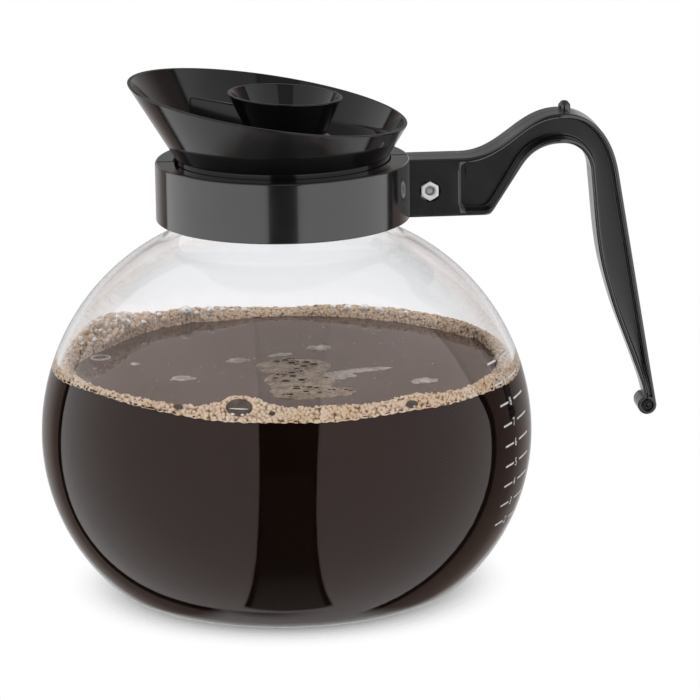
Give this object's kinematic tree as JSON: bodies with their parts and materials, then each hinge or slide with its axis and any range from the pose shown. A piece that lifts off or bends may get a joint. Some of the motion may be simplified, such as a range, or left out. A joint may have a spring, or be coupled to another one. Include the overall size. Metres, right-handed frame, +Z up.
{
  "type": "coffee carafe",
  "caption": "Glass globe coffee carafe with a clamp collar, open hook handle and lift-off funnel lid with a slanted rim, for brewing into and pouring.",
  "frame": {"origin": "on the axis of the globe, at the base plane that it stands on", "axes": "+Z up along the axis of the globe, +X towards the handle, -X the pour side, -Y the left side of someone holding it"},
  "size_m": [0.2015, 0.16, 0.1675],
  "materials": {
    "glass": "clear polished glass",
    "cushion": "matt",
    "handle_plastic": "black, lightly polished moulding",
    "steel": "bright zinc plate",
    "rivet": "black",
    "lid_plastic": "black gloss moulding"
  },
  "bodies": {
    "jug": {"glass_globe": "glass", "neck_cushion": "cushion", "clamp_half_left": "handle_plastic", "clamp_half_right": "handle_plastic", "clamp_bolt": "steel", "clamp_nut": "steel", "grip_rivet": "rivet", "handle_peg": "handle_plastic"},
    "lid": {"lid_bowl": "lid_plastic", "drip_funnel": "lid_plastic"}
  },
  "joints": [
    {"name": "lid_lift", "type": "slide", "parent": "jug", "child": "lid", "axis": [0, 0, 1], "range_m": [0, 0.06]}
  ]
}
